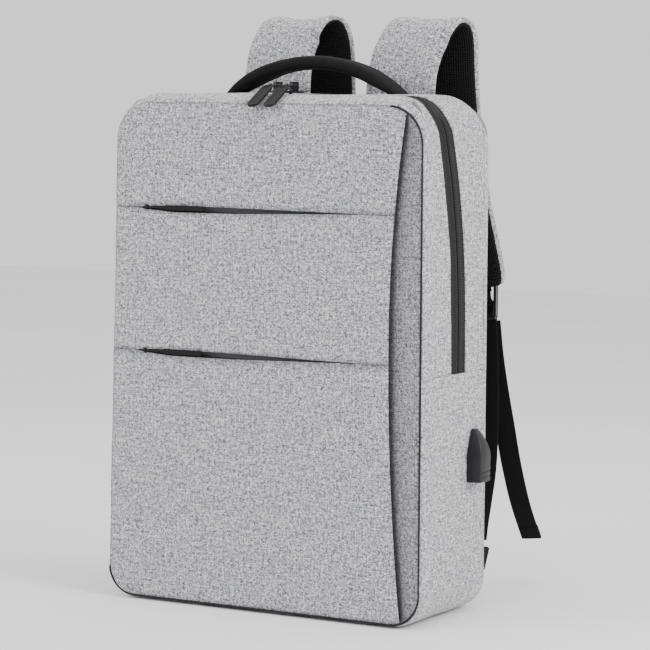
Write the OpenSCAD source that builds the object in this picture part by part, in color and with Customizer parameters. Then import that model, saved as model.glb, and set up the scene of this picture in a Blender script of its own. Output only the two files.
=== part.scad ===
// Laptop backpack with a side USB port, standing upright.
// Origin at the middle of the base; +X to the side with the USB port, +Y to the wearer's back,
// +Z up. "left" is the -X side and "right" the +X side, seen from the front.

/* [Body] */
// Width at the widest, near the base
body_w = 308; // [296:1:320]
// Width just under the top corners
top_w = 299; // [290:1:308]
// Depth at the base, without the back pads
body_d = 141; // [135:1:150]
// How much the back wall leans forwards over its whole height
back_lean = 10; // [6:1:14]
// Height of the crest
body_h = 443; // [438:1:450]
// Height of the seam along the front's top edge
front_h = 432; // [428:1:436]
// Radius of the top corners, seen from the front
top_r = 34; // [28:1:40]
// Radius of the bottom corners, seen from the front
base_r = 26; // [20:1:32]
// Thickness of the padded fabric wall
wall = 3; // [2.4:0.1:3.4]
// Height of the line that the front folds down along
crease_z = 232; // [228:1:236]
// Height of the seam that ends the main zipper on each side
side_seam_z = 208; // [204:1:212]

/* [Front pockets] */
// Height of the upper pocket slot
slot_upper_z = 342; // [330:1:352]
// Height of the lower pocket slot
slot_lower_z = 218; // [214:1:220]
// Left end of both slots
slot_x0 = -125; // [-135:1:-115]
// Right end of both slots
slot_x1 = 89; // [80:1:95]
// Gap between a slot's two lips
slot_gap = 5; // [4.6:0.1:6]
// Thickness of the overlay panels
overlay_t = 2.2; // [1.8:0.1:2.6]
// Depth of the front pockets behind the overlays
pocket_d = 6.8; // [6:0.1:8]

/* [Main zipper] */
// Width of the whole zipper band
band_w = 26; // [22:1:28]
// Gap between the two rows of coils
coil_gap = 1.6; // [1.4:0.1:2]
// Distance from the middle to each slider at rest
slider_x = 8; // [7.5:0.5:12]

/* [Handle] */
// Radius of the handle's arch at the middle of the grip
handle_r = 136.5; // [130:0.5:145]
// Height of the grip's middle at the crown
handle_top = 468.5; // [464:0.5:472]
// Width of the grip, front to back
handle_w = 28; // [24:1:32]
// Thickness of the grip
handle_t = 11; // [9:1:13]

/* [Shoulder straps] */
// Width of the padded strap
strap_w = 66; // [58:1:70]
// Thickness of the strap's foam
strap_foam = 9; // [7:0.5:10]
// Thickness of the mesh on the strap's inner side
strap_mesh = 2.6; // [2:0.1:3]
// Width of the webbing
web_w = 20; // [18:1:22]
// Thickness of the webbing
web_t = 1.8; // [1.5:0.1:2]

/* [USB port] */
// Height of the port's housing
usb_h = 45; // [40:1:50]
// Depth of the housing, front to back
usb_d = 22; // [20:1:24]
// How far the housing stands out
usb_out = 13.6; // [12:0.2:15]

/* [Hidden] */
$fn = 64;

// Colours
heather = "#b9b9bd";
black = "#1b1b1d";
charcoal = "#3a3a40";
lining_grey = "#77777b";
steel = "#c8c8c8";

// The body's faces and seams
big = 900;                       // longer than anything in the model
clear = 0.15;                    // half of the gap at the crease
front_y = -body_d / 2;           // outer face of the overlays
back_y0 = body_d / 2;            // outer face of the back at the base
piping_w = wall + 0.2;           // the piping's width, all round the front
piping_d = 4;                    // and its depth
brow_d = 22;                     // the brow above the front's top seam, front to back
brow_h = 9;                      // and upwards
base_y = front_y + overlay_t + pocket_d;  // outer face of the wall behind the pockets
base_t = 2;                      // that wall's thickness
lining_gap = 0.3;                // between the padded wall and the lining
lining_t = 0.8;
inner = wall + lining_gap;       // inset of the lining's outer face
room = inner + lining_t;         // inset of the main compartment
back_seam = 16;                  // from the back face to the seam around it
panel_half = body_w / 2 - base_r; // half of the bottom panel's width

// The zipper band: upright low down, then leaning forwards to the top
band_low_y = -1;
band_high_y = -34;
band_bend_z = 240;
band_high_z = 425;
function zip_y(z) =
    let (t = min(1, max(0, (z - band_bend_z) / (band_high_z - band_bend_z))))
    band_low_y + (band_high_y - band_low_y) * pow(t, 2.2);
function zip_line(offset, low, high) =
    concat([for (i = [0 : 16]) let (z = low + (min(high, band_high_z) - low) * i / 16)
        [zip_y(z) + offset, z]], high > band_high_z ? [[band_high_y + offset, high]] : []);
function reversed(list) = [for (i = [len(list) - 1 : -1 : 0]) list[i]];
function back_y(z) = back_y0 - back_lean * z / body_h;
function side_x(z) = body_w / 2 - (body_w - top_w) / 2 * z / body_h;

// The fold at the overlays' right edge, which bows out at the top and the bottom
fold_mid_x = 119.5;
fold_mid_z = 250;
fold_bow = 14;
function fold_x(z) = fold_mid_x + fold_bow * pow((z - fold_mid_z)
    / (z > fold_mid_z ? front_h - fold_mid_z : fold_mid_z - 8), 2);

// ---- Plane shapes ----

function unit(v) = v / norm(v);
function to_previous(points, i) =
    unit(points[(i + len(points) - 1) % len(points)] - points[i]);
function to_next(points, i) = unit(points[(i + 1) % len(points)] - points[i]);
function half_angle(points, i) = acos(to_previous(points, i) * to_next(points, i)) / 2;
function corner(points, radii, i) =
    let (run = radii[i] / tan(half_angle(points, i)))
    radii[i] == 0 ? [points[i]]
        : [points[i] + to_previous(points, i) * run, points[i] + to_next(points, i) * run];

// A convex outline with its own radius at each corner
module rounded(points, radii) {
    polygon([for (i = [0 : len(points) - 1]) each corner(points, radii, i)]);
    for (i = [0 : len(points) - 1])
        if (radii[i] > 0)
            translate(points[i] + unit(to_previous(points, i) + to_next(points, i))
                * radii[i] / sin(half_angle(points, i)))
                circle(radii[i]);
}

// Extrude an X-Z outline along Y, between two depths
module across_y(low, high) {
    translate([0, high, 0]) rotate([90, 0, 0]) linear_extrude(high - low) children();
}

// Extrude a Y-Z outline along X, between two widths
module across_x(low, high) {
    translate([low, 0, 0]) rotate([90, 0, 90]) linear_extrude(high - low) children();
}

module front_outline(inset, height) {
    low = body_w / 2 - inset;
    high = top_w / 2 - inset;
    rounded([[-low, inset], [low, inset], [high, height - inset], [-high, height - inset]],
        [base_r - inset, base_r - inset, top_r - inset, top_r - inset]);
}

// front is where the front face is cut off
module side_outline(inset, front) {
    rounded([[front, inset], [back_y0 - inset, inset],
        [back_y(body_h) - inset, body_h - inset], [front_y + brow_d, front_h + brow_h - inset],
        [front, front_h + (front - front_y) * brow_h / brow_d - inset]],
        [4, 28 - inset, 40 - inset, front > front_y + 6 ? 8 : 20, 4]);
}

module plan_outline(inset) {
    half = body_w / 2 - inset;
    rounded([[-half, front_y + inset], [half, front_y + inset],
        [half, back_y0 - inset], [-half, back_y0 - inset]],
        [10 - inset, 10 - inset, 20 - inset, 20 - inset]);
}

// ---- The body, and the parts of its wall ----

// The whole body as a solid, all its faces moved in by inset, and the front one to a depth
module body(inset, front = undef) {
    intersection() {
        across_y(-big / 2, big / 2) front_outline(inset, body_h);
        across_x(-big / 2, big / 2)
            side_outline(inset, is_undef(front) ? front_y + inset : front);
        linear_extrude(big) plan_outline(inset);
    }
}

module shell(outer, inner) {
    difference() {
        body(outer);
        body(inner);
    }
}

// Everything between two Y-Z outlines that run upwards
module between(front_line, rear_line) {
    across_x(-big / 2, big / 2) polygon(concat(front_line, reversed(rear_line)));
}

// A slab square to Z
module layer(low, high) {
    translate([-big / 2, -big / 2, low]) cube([big, big, high - low]);
}

// Everything ahead of the zipper, above a height
module ahead_of_zipper(offset, low) {
    between([[-big, low], [-big, big]], zip_line(offset, low, big));
}

// A flat panel inside the front's seam, from one depth to another
module front_slab(low_y, high_y) {
    across_y(low_y, high_y) front_outline(piping_w, front_h);
}

// The part of an X-Z slab that is left or right of the fold
module beside_fold(side, offset) {
    line = [for (i = [0 : 20]) let (z = 4 + (front_h - 4) * i / 20) [fold_x(z) + offset, z]];
    across_y(front_y - 1, base_y)
        polygon(concat([[side * big, 4]], line, [[side * big, front_h]]));
}

module slot(z) {
    translate([slot_x0, front_y - 1, z - slot_gap / 2])
        cube([slot_x1 - slot_x0, overlay_t + 2, slot_gap]);
}

module overlay(low, high) {
    difference() {
        intersection() {
            front_slab(front_y, front_y + overlay_t);
            beside_fold(-1, 0);
            layer(low, high);
        }
        slot(slot_upper_z);
        slot(slot_lower_z);
    }
}

module pleat_strip(low, high) {
    intersection() {
        front_slab(front_y + 2.5, front_y + 3.8);
        beside_fold(1, -12);
        layer(low, high);
    }
}

module piping(low, high) {
    intersection() {
        difference() {
            across_y(front_y, front_y + piping_d) front_outline(0, front_h);
            across_y(front_y - 1, front_y + piping_d + 1) front_outline(piping_w, front_h);
        }
        layer(low, high);
    }
}

// A thin fabric bag that hangs behind a slot, open towards it
module pocket_bag(low, high) {
    skin = 0.8;
    near = front_y + overlay_t + 0.3;
    far = base_y - 0.1;
    across_x(slot_x0 - 18, slot_x1 + 8) difference() {
        translate([near, low]) square([far - near, high - low]);
        translate([near - 1, low + skin]) square([far - near - skin + 1, high - low - 2 * skin]);
    }
}

// The two zipper tapes behind a slot's lips, apart because the pocket is open
module pocket_tapes(z) {
    tape = 9;
    color(black) for (low = [z - slot_gap / 2 - tape, z + slot_gap / 2])
        translate([slot_x0 - 4, front_y + overlay_t + 0.3, low])
            cube([slot_x1 - slot_x0 + 8, 0.8, tape]);
}

// ---- Fixed parts ----

module back_panel() {
    color(heather) intersection() {
        shell(0, wall);
        between([[back_y0 - back_seam, 0], [back_y0 - back_seam - back_lean, body_h]],
            [[big, 0], [big, body_h]]);
    }
}

module rear_gusset() {
    color(heather) intersection() {
        shell(0, wall);
        between(zip_line(band_w / 2, side_seam_z, body_h),
            [[back_y(side_seam_z) - back_seam, side_seam_z], [back_y(body_h) - back_seam, body_h]]);
    }
}

module side_wall() {
    intersection() {
        shell(0, wall);
        between([[front_y + piping_d, 0], [front_y + piping_d, side_seam_z]],
            [[back_y0 - back_seam, 0], [back_y(side_seam_z) - back_seam, side_seam_z]]);
    }
}

module side_panel(side) {
    color(heather) intersection() {
        side_wall();
        translate([side > 0 ? panel_half : -big - panel_half, -big / 2, 0])
            cube([big, big, side_seam_z]);
    }
}

module side_panel_left() { side_panel(-1); }
module side_panel_right() { side_panel(1); }

module bottom_panel() {
    color(heather) intersection() {
        side_wall();
        translate([-panel_half, -big / 2, 0]) cube([2 * panel_half, big, wall]);
    }
}

module front_gusset(low, high) {
    color(heather) intersection() {
        shell(0, wall);
        between([[front_y + piping_d, low], [front_y + piping_d, high]],
            zip_line(-band_w / 2, low, high));
    }
}

module front_gusset_lower() { front_gusset(side_seam_z, crease_z - clear); }

module front_base_lower() {
    color(heather) intersection() {
        front_slab(base_y, base_y + base_t);
        layer(0, crease_z - clear);
    }
}

module pleat_strip_lower() { color(heather) pleat_strip(0, crease_z - clear); }
module overlay_lower() { color(heather) overlay(0, slot_lower_z - 0.1); }
module slot_facing() { color(heather) overlay(slot_lower_z + 0.1, crease_z - clear); }
module piping_lower() { color(charcoal) piping(0, crease_z - clear); }
module pocket_bag_lower() { color(lining_grey) pocket_bag(14, crease_z - 1); }
module pocket_tapes_lower() { pocket_tapes(slot_lower_z); }

// One side of the main zipper's tape, or of its coil, between two offsets from its line
module zipper_half(near, far, outer, inner, low) {
    color(black) intersection() {
        shell(outer, inner);
        between(zip_line(near, low, body_h + 1), zip_line(far, low, body_h + 1));
    }
}

module zipper_tape_rear() {
    zipper_half(coil_gap / 2, band_w / 2, 0.8, 2, side_seam_z);
    // Below the crease the closed band carries on to the seam
    color(black) intersection() {
        shell(0.8, 2);
        between(zip_line(-band_w / 2, side_seam_z, crease_z - clear),
            zip_line(-coil_gap / 2, side_seam_z, crease_z - clear));
    }
}

module zipper_coil_rear() { zipper_half(coil_gap / 2, 3, 2, 3.8, crease_z); }

// The lining's skin, whose front is flat behind the pockets
module lining_skin() {
    front_face = base_y + base_t + lining_gap;
    difference() {
        body(inner, front_face);
        body(room, front_face + lining_t);
    }
}

module main_lining() {
    top = crease_z - 1;
    color(lining_grey) intersection() {
        lining_skin();
        across_x(-big / 2, big / 2)
            polygon(concat([[-big, 0], [-big, top]], zip_line(4, top, big), [[big, big], [big, 0]]));
    }
}

module bottom_board() {
    half = 118;
    near = base_y + base_t + 6;
    far = 42;
    color(charcoal) translate([0, 0, room + 0.2]) linear_extrude(2)
        rounded([[-half, near], [half, near], [half, far], [-half, far]], [8, 8, 8, 8]);
}

// The padded divider that makes the laptop compartment
sleeve_y = 34;
sleeve_t = 3;
sleeve_h = 300;
module laptop_sleeve() {
    color(lining_grey) intersection() {
        across_y(sleeve_y, sleeve_y + sleeve_t) front_outline(room + 0.1, body_h);
        layer(8, sleeve_h);
    }
}

// A small open-topped pocket on the right wall, by the USB port, for a power bank
bank = [24, 46, 108];            // the pocket's inner size
bank_low = [119, -16, 66];       // its lowest inner corner
module power_bank_pocket() {
    skin = 1;
    color(lining_grey) difference() {
        translate(bank_low - [skin, skin, skin]) cube(bank + [2 * skin, 2 * skin, skin]);
        translate(bank_low) cube(bank + [0, 0, 1]);
    }
}

// Two padded panels on the back, with an air channel between them
module back_pads() {
    pad = [112, 336];
    pad_low = 44;
    pad_t = 9;
    channel = 22;
    color(black) for (side = [-1, 1]) intersection() {
        difference() {
            body(-pad_t);
            body(-0.1);
        }
        across_y(back_y(body_h) - 6, back_y0 + 20)
            translate([side * (pad[0] + channel) / 2, pad_low + pad[1] / 2])
                rounded([[-pad[0] / 2, -pad[1] / 2], [pad[0] / 2, -pad[1] / 2],
                    [pad[0] / 2, pad[1] / 2], [-pad[0] / 2, pad[1] / 2]], [18, 18, 18, 18]);
    }
}

// ---- Handle ----

handle_x = 2;
handle_y = 15;
handle_axis_z = 447;
handle_low_z = 452.6;            // what moves stays above this
handle_centre_z = handle_top - handle_r;

module handle_arch(width, thickness) {
    translate([handle_x, handle_y, handle_centre_z]) rotate([90, 0, 0]) rotate([0, 0, 50])
        rotate_extrude(angle = 80) translate([handle_r, 0])
            rounded([[-thickness / 2, -width / 2], [thickness / 2, -width / 2],
                [thickness / 2, width / 2], [-thickness / 2, width / 2]],
                [thickness * 0.4, thickness * 0.4, thickness * 0.4, thickness * 0.4]);
}

module handle_grip() {
    color(black) intersection() {
        handle_arch(handle_w, handle_t);
        layer(handle_low_z, big);
    }
}

// The narrow ends of the handle's webbing, from the seam to the padded grip
module handle_anchors() {
    color(black) intersection() {
        handle_arch(9, handle_t * 0.4);
        difference() {
            layer(body_h - 4, handle_axis_z + 1.6);
            body(-0.1);
        }
    }
}

// ---- Shoulder straps ----

// Each route runs from the top seam over the crown and down to the base: points chosen by
// hand along the middle of the strap
pad_route_right = [[62, 58, 447], [63, 60, 465], [67, 65, 484], [73, 74, 500], [79, 86, 506],
    [82, 95, 501], [83, 99, 488], [84, 100, 462], [85, 104, 430], [86, 108, 397],
    [89, 114, 358], [94, 126, 320], [100, 138, 285]];
pad_route_left = [[-60, 58, 447], [-59, 60, 465], [-57, 65, 484], [-55, 74, 500],
    [-52, 86, 506], [-48, 95, 501], [-45, 99, 488], [-43, 100, 462], [-43, 104, 430],
    [-47, 108, 397], [-57, 114, 358], [-70, 126, 320], [-83, 138, 285]];
web_route_right = [[106, 151, 243], [109, 149, 212], [112, 145, 180], [116, 137, 140],
    [119, 128, 110], [123, 112, 86], [128, 94, 66], [132, 82, 53]];
web_route_left = [[-95, 151, 243], [-100, 149, 212], [-105, 145, 180], [-113, 137, 140],
    [-118, 128, 110], [-123, 112, 86], [-128, 94, 66], [-132, 82, 53]];
tail_route_right = [[106, 159, 241], [108, 163, 210], [111, 168, 180], [115, 175, 145],
    [119, 182, 110], [124, 193, 72], [129, 209, 38]];
tail_route_left = [[-95, 159, 241], [-97, 163, 210], [-100, 168, 180], [-104, 175, 145],
    [-108, 182, 110], [-113, 193, 72], [-118, 209, 38]];

// A point on a smooth curve through a route, t from 0 to 1
function along(route, t) =
    let (n = len(route) - 1, s = min(t * n, n - 0.0001), i = floor(s), u = s - i,
        a = route[max(i - 1, 0)], b = route[i], c = route[i + 1], d = route[min(i + 2, n)])
    0.5 * (2 * b + (c - a) * u + (2 * a - 5 * b + 4 * c - d) * u * u
        + (3 * b - a - 3 * c + d) * u * u * u);
function heading(route, t) =
    unit(along(route, min(1, t + 0.01)) - along(route, max(0, t - 0.01)));
// Across the strap, and out of its outer face
function sideways(route, t) = unit(cross(heading(route, t), [0, -heading(route, t)[2],
    heading(route, t)[1]]));
function outwards(route, t) = cross(sideways(route, t), heading(route, t));

// The strap narrows towards its lower end
function pad_half(t) = t < 0.72 ? strap_w / 2 : strap_w / 2 - 11 * pow((t - 0.72) / 0.28, 1.5);

// A flat band swept along a route; half(t) is half its width, and its section is a flat
// octagon between two distances from the route
module band(route, rings, halves, low, high) {
    bevel = min(1.2, (high - low) * 0.35);
    section = [[-1, low + bevel], [-1, high - bevel], [-1, high], [1, high], [1, high - bevel],
        [1, low + bevel], [1, low], [-1, low]];
    trims = [0, 0, bevel, bevel, 0, 0, bevel, bevel];
    count = len(section);
    points = [for (i = [0 : rings]) let (t = i / rings, centre = along(route, t),
        across = sideways(route, t), out = outwards(route, t))
        for (k = [0 : count - 1])
            centre + across * section[k][0] * (halves[i] - trims[k]) + out * section[k][1]];
    sides = [for (i = [0 : rings - 1]) for (k = [0 : count - 1])
        let (a = i * count + k, b = i * count + (k + 1) % count)
        // The outer and inner faces are split along the same diagonals, so that bands can lie
        // close together
        each k < count / 2 ? [[a, a + count, b], [b, a + count, b + count]]
            : [[a, b + count, b], [a, a + count, b + count]]];
    ends = [for (k = [1 : count - 2])
        each [[0, k, k + 1], [rings * count, rings * count + k + 1, rings * count + k]]];
    polyhedron(points, concat(sides, ends));
}

pad_rings = 30;
pad_halves = [for (i = [0 : pad_rings]) pad_half(i / pad_rings)];
module strap_pad(route) {
    color(heather) band(route, pad_rings, pad_halves, -strap_foam / 2, strap_foam / 2);
}
module strap_pad_left() { strap_pad(pad_route_left); }
module strap_pad_right() { strap_pad(pad_route_right); }

module strap_lining(route) {
    color(black) band(route, pad_rings, [for (h = pad_halves) h - 2],
        -strap_foam / 2 - strap_mesh, -strap_foam / 2 - 0.3);
}
module strap_mesh_left() { strap_lining(pad_route_left); }
module strap_mesh_right() { strap_lining(pad_route_right); }

module webbing(route, rings) {
    color(black) band(route, rings, [for (i = [0 : rings]) web_w / 2], -web_t / 2, web_t / 2);
}

// The short end that holds the buckle, and the long run down to the base
module strap_webbing(pad_route, web_route) {
    end = pad_route[len(pad_route) - 1];
    start = web_route[0];
    webbing([end + (start - end) * 0.02, end + (start - end) * 0.16,
        end + (start - end) * 0.32], 2);
    webbing(web_route, 20);
}
module strap_webbing_left() { strap_webbing(pad_route_left, web_route_left); }
module strap_webbing_right() { strap_webbing(pad_route_right, web_route_right); }

module webbing_tail_left() { webbing(tail_route_left, 16); }
module webbing_tail_right() { webbing(tail_route_right, 16); }

// A three-bar ladder buckle between the pad's end and the lower webbing
module buckle(pad_route, web_route) {
    frame_w = 30;
    frame_h = 30;
    bar = 4.4;
    end = pad_route[len(pad_route) - 1];
    middle = (end + web_route[0]) / 2 + (web_route[0] - end) * 0.13;
    way = unit(web_route[0] - end);
    color(black) translate(middle)
        rotate([-asin(way[1]), 0, 0]) rotate([0, -atan2(way[0], -way[2]), 0]) {
            for (side = [-1, 1])
                translate([side * (frame_w - bar) / 2, 0, -frame_h / 2]) cylinder(frame_h, d = bar);
            for (z = [-frame_h / 2, -2, frame_h / 2])
                translate([-frame_w / 2 + bar / 2, 0, z]) rotate([0, 90, 0])
                    cylinder(frame_w - bar, d = bar);
        }
}
module buckle_left() { buckle(pad_route_left, web_route_left); }
module buckle_right() { buckle(pad_route_right, web_route_right); }

// Where the straps are sewn into the top of the back
strap_root_z = 440;
module strap_roots() {
    color(heather) difference() {
        for (route = [pad_route_left, pad_route_right])
            translate([route[0][0] - strap_w / 2, 53, 408])
                cube([strap_w, strap_foam + strap_mesh, strap_root_z - 408]);
        body(-0.1);
    }
}

// The stitched tabs that hold the lower webbing at the foot of the back
module lower_anchor_tabs() {
    color(black) for (route = [web_route_left, web_route_right]) {
        foot = route[len(route) - 1];
        difference() {
            across_x(foot[0] - 13, foot[0] + 13)
                polygon([[back_y0 - 12, 30], [back_y0 + 3, 30], [foot[1] + 0.6, foot[2] - 5.6],
                    [foot[1] - 3.4, foot[2] - 3.6], [back_y0 - 12, 46]]);
            body(-0.1);
        }
    }
}

// ---- USB port ----

usb_y = 26.5;
usb_z = 114;
usb_x = side_x(usb_z + usb_h);
usb_tip = 9;                     // width of the housing's rounded top
socket = [5.7, 13.1, 14];        // outer size of the metal socket, thickness first
socket_wall = 0.3;
socket_x = usb_x + 6.4;          // the socket's middle

module usb_housing() {
    color(charcoal) difference() {
        intersection() {
            translate([usb_x, usb_y, usb_z]) across_x(0, usb_out)
                rounded([[-usb_d / 2, 0], [usb_d / 2, 0], [usb_d / 2, usb_h * 0.5],
                    [usb_tip / 2, usb_h], [-usb_tip / 2, usb_h], [-usb_d / 2, usb_h * 0.5]],
                    [1.5, 1.5, 10, 3.4, 3.4, 10]);
            translate([usb_x, usb_y, usb_z]) across_y(-usb_d, usb_d)
                rounded([[0, 0], [usb_out, 0], [usb_out, usb_h * 0.5], [5, usb_h], [0, usb_h]],
                    [0, 1.5, 20, 3, 0]);
            difference() {
                layer(0, big);
                body(-0.05);
            }
        }
        translate([socket_x - socket[0] / 2 - 0.1, usb_y - socket[1] / 2 - 0.1, usb_z - 1])
            cube(socket + [0.2, 0.2, 1.1]);
    }
}

module usb_socket() {
    color(steel) translate([socket_x, usb_y, usb_z]) difference() {
        translate([-socket[0] / 2, -socket[1] / 2, 0]) cube(socket);
        translate([-socket[0] / 2 + socket_wall, -socket[1] / 2 + socket_wall, -1])
            cube(socket - [2 * socket_wall, 2 * socket_wall, 0.2]);
    }
}

module usb_tongue() {
    tongue = [1.8, 11.1, 11.15];
    color(black) translate([socket_x + 0.6, usb_y - tongue[1] / 2, usb_z + 1.6]) cube(tongue);
}

// The plate inside the wall that the housing is riveted to, with a hole for the lead
module usb_backing_plate() {
    plate = [2, 14, 40];
    hole_r = 4;
    plate_x = side_x(usb_z + plate[2]) - room - plate[0] - 0.3;
    color(black) translate([plate_x, usb_y, usb_z]) difference() {
        translate([0, -plate[1] / 2, 0]) cube(plate);
        translate([-1, 0, plate[2] / 2]) rotate([0, 90, 0]) cylinder(plate[0] + 2, r = hole_r);
    }
}

// ---- Front flap ----

module front_gusset_upper() { front_gusset(crease_z + clear, body_h + 1); }

module front_base_upper() {
    color(heather) intersection() {
        front_slab(base_y, base_y + base_t);
        layer(crease_z + clear, big);
    }
}

module pleat_strip_upper() { color(heather) pleat_strip(crease_z + clear, big); }
module overlay_middle() { color(heather) overlay(crease_z + clear, slot_upper_z - 0.1); }
module overlay_upper() { color(heather) overlay(slot_upper_z + 0.1, big); }
module piping_upper() { color(charcoal) piping(crease_z + clear, big); }
module pocket_bag_upper() { color(lining_grey) pocket_bag(crease_z + 6, slot_upper_z + 14); }
module pocket_tapes_upper() { pocket_tapes(slot_upper_z); }

module zipper_tape_front() {
    zipper_half(-band_w / 2, -coil_gap / 2, 0.8, 2, crease_z + clear);
}
module zipper_coil_front() { zipper_half(-3, -coil_gap / 2, 2, 3.8, crease_z + clear); }

module flap_lining() {
    color(lining_grey) intersection() {
        lining_skin();
        ahead_of_zipper(-4, crease_z + 1);
    }
}

// ---- Main zipper sliders, at home on the right; the left ones mirror them ----

slider_l = 13;                   // along the zipper
slider_wd = 9;
plate_low = 441.6;               // underside of the top plate
plate_t = 1.6;
under_top = 436.4;               // top of the plate under the coils
bridge_w = 3;
ring_y = band_high_y - 4;
ring_z = 448.2;
ring_d = 1.6;                    // thickness of the ring's wire
ring_l = 12;
ring_tilt = -4;                  // how far the ring stands above level
tab_y = ring_y - ring_l * cos(ring_tilt);
tab_z = ring_z + ring_l * sin(ring_tilt);
tab_tilt = 33;                   // how far the tab hangs below level
tab = [11, 37, 2.4];             // width, length and thickness

module slider(x) {
    color(charcoal) translate([x, band_high_y, 0]) {
        translate([-slider_l / 2, -slider_wd / 2, plate_low]) cube([slider_l, slider_wd, plate_t]);
        translate([-slider_l / 2, -slider_wd / 2, under_top - plate_t])
            cube([slider_l, slider_wd, plate_t]);
        translate([-slider_l / 2 + 1, -0.5, under_top - 0.1]) cube([3, 1, plate_low - under_top + 0.2]);
        // The bridge that the ring hangs from
        difference() {
            translate([-bridge_w / 2, -6.6, plate_low + plate_t - 0.1])
                cube([bridge_w, 11, ring_z + 3 - plate_low - plate_t]);
            translate([-bridge_w, ring_y - band_high_y, ring_z]) rotate([0, 90, 0])
                cylinder(2 * bridge_w, r = ring_d / 2 + 0.3);
            translate([-bridge_w, -1.8, plate_low + plate_t]) cube([2 * bridge_w, 4.4, 3.4]);
        }
    }
}

// A wire ring through the bridge and the tab's eye
module pull_ring(x) {
    half = 3.4;
    color(charcoal) translate([x, ring_y, ring_z]) rotate([-ring_tilt, 0, 0]) {
        for (side = [-1, 1])
            translate([side * half, 0, 0]) rotate([90, 0, 0]) cylinder(ring_l, d = ring_d);
        for (y = [0, -ring_l])
            translate([-half, y, 0]) rotate([0, 90, 0]) cylinder(2 * half, d = ring_d);
        for (side = [-1, 1]) for (y = [0, -ring_l])
            translate([side * half, y, 0]) sphere(d = ring_d);
    }
}

// The capsule-shaped tab, hanging over the front's top edge
module pull_tab(x) {
    eye_r = ring_d / 2 + 0.35;
    color(black) translate([x, tab_y, tab_z]) rotate([tab_tilt, 0, 0]) difference() {
        union() {
            translate([0, 0, -tab[2] / 2]) linear_extrude(tab[2]) {
                translate([-tab[0] / 2, -tab[1] + tab[0] / 2 + 1])
                    square([tab[0], tab[1] - tab[0] - 1.5]);
                translate([0, -tab[1] + tab[0] / 2 + 1]) circle(d = tab[0]);
                translate([0, -tab[0] / 2 - 0.5]) circle(d = tab[0]);
            }
            rotate([0, 90, 0]) cylinder(4.4, r = eye_r + 1, center = true);
            translate([-2.2, -4, -tab[2] / 2]) cube([4.4, 4, tab[2]]);
        }
        rotate([0, 90, 0]) cylinder(tab[0] + 2, r = eye_r, center = true);
        // Room for the ring's sides
        for (side = [-1, 1])
            translate([side * 4.35 - 2.1, -3.4, -tab[2]]) cube([4.2, 8, 2 * tab[2]]);
    }
}

module slider_left() { slider(-slider_x); }
module slider_right() { slider(slider_x); }
module pull_ring_left() { pull_ring(-slider_x); }
module pull_ring_right() { pull_ring(slider_x); }
module pull_tab_left() { pull_tab(-slider_x); }
module pull_tab_right() { pull_tab(slider_x); }

// ---- Front pocket sliders ----

pocket_slider_x = slot_x0 + 9;
pull_y = front_y - 1.3;          // the pull's pin, just ahead of the lips
pull_t = 1.6;

module pocket_slider(z) {
    plate_y = front_y + overlay_t + 1.5;
    neck = 0.8;                  // half of what holds the pin at each end
    color(charcoal) translate([pocket_slider_x, 0, z]) {
        translate([-5, plate_y, -4.5]) cube([10, 1.2, 9]);
        translate([-1.5, front_y + 0.8, -2]) cube([3, plate_y - front_y - 0.7, 4]);
        translate([0, pull_y, -2]) cylinder(4, r = neck);
        for (end = [-2, 2 - neck]) translate([-1.5, pull_y, end])
            cube([3, front_y - pull_y + 1, neck]);
    }
}

// A short cord loop with a fabric tab, lying along the slot
module pocket_pull(z) {
    cord = 20;
    tab_l = 37;
    color(lining_grey) translate([pocket_slider_x, pull_y, z]) difference() {
        union() {
            translate([1.2, -0.6, -0.9]) cube([cord, 1.2, 1.8]);
            translate([cord, -pull_t / 2, -2.1]) cube([tab_l, pull_t, 4.2]);
            translate([0, 0, -1]) cylinder(2, r = 1.7);
        }
        translate([0, 0, -3]) cylinder(6, r = 0.85);
    }
}

module pocket_slider_upper() { pocket_slider(slot_upper_z); }
module pocket_slider_lower() { pocket_slider(slot_lower_z); }
module pocket_pull_upper() { pocket_pull(slot_upper_z); }
module pocket_pull_lower() { pocket_pull(slot_lower_z); }

// ---- Nodes ----

back_panel();
rear_gusset();
side_panel_left();
side_panel_right();
bottom_panel();
front_gusset_lower();
front_base_lower();
pleat_strip_lower();
overlay_lower();
slot_facing();
piping_lower();
pocket_bag_lower();
pocket_tapes_lower();
zipper_tape_rear();
zipper_coil_rear();
main_lining();
bottom_board();
laptop_sleeve();
power_bank_pocket();
back_pads();
strap_roots();
handle_anchors();
lower_anchor_tabs();
usb_housing();
usb_socket();
usb_tongue();
usb_backing_plate();
front_gusset_upper();
front_base_upper();
pleat_strip_upper();
overlay_middle();
overlay_upper();
piping_upper();
pocket_bag_upper();
pocket_tapes_upper();
zipper_tape_front();
zipper_coil_front();
flap_lining();
slider_left();
slider_right();
pull_ring_left();
pull_ring_right();
pull_tab_left();
pull_tab_right();
pocket_slider_upper();
pocket_pull_upper();
pocket_slider_lower();
pocket_pull_lower();
handle_grip();
strap_pad_left();
strap_pad_right();
strap_mesh_left();
strap_mesh_right();
buckle_left();
buckle_right();
strap_webbing_left();
strap_webbing_right();
webbing_tail_left();
webbing_tail_right();
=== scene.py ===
"""Laptop backpack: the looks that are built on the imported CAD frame. Lengths are in millimetres
until a mesh is made; +X is the side with the USB port, +Y the wearer's back, +Z up."""
import math

import bpy
import numpy as np
from mathutils import Matrix, Vector, noise


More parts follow.
